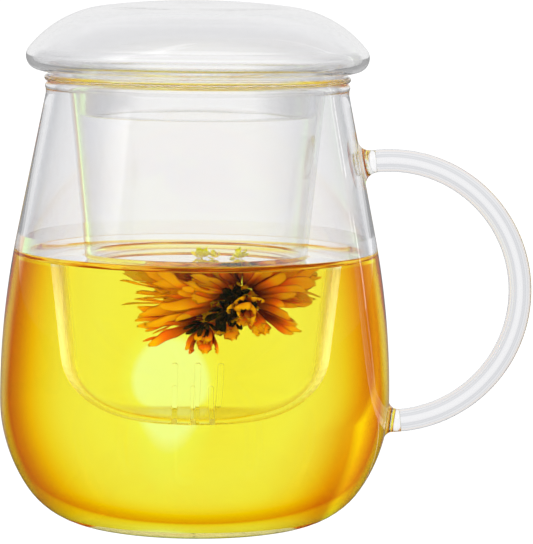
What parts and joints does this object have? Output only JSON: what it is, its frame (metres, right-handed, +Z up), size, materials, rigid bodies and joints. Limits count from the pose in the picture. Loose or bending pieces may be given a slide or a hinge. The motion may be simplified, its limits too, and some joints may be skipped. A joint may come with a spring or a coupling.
{
  "type": "lidded tea mug with infuser",
  "caption": "Clear glass tea mug with a bent rod handle, a lift-out slitted infuser hung from its rim and a lift-off domed lid.",
  "frame": {"origin": "on the mug's axis, on the plane that its flat base stands on", "axes": "+Z up along the mug's axis, +X towards the handle, +Y to the left of someone who looks along +X"},
  "size_m": [0.1312, 0.0964, 0.1294],
  "materials": {
    "mug_glass": "blown borosilicate glass, clear, fire-polished",
    "handle_glass": "solid borosilicate rod, flame-worked",
    "infuser_glass": "thin blown borosilicate glass, clear",
    "lid_glass": "blown borosilicate glass, clear"
  },
  "bodies": {
    "mug": {"mug_body": "mug_glass", "handle_rod": "handle_glass", "handle_upper_weld": "handle_glass", "handle_lower_weld": "handle_glass"},
    "infuser": {"infuser": "infuser_glass"},
    "lid": {"lid": "lid_glass"}
  },
  "joints": [
    {"name": "infuser_lift", "type": "slide", "parent": "mug", "child": "infuser", "axis": [0, 0, 1], "range_m": [0, 0.1]},
    {"name": "lid_lift", "type": "slide", "parent": "infuser", "child": "lid", "axis": [0, 0, 1], "range_m": [0, 0.05]}
  ]
}
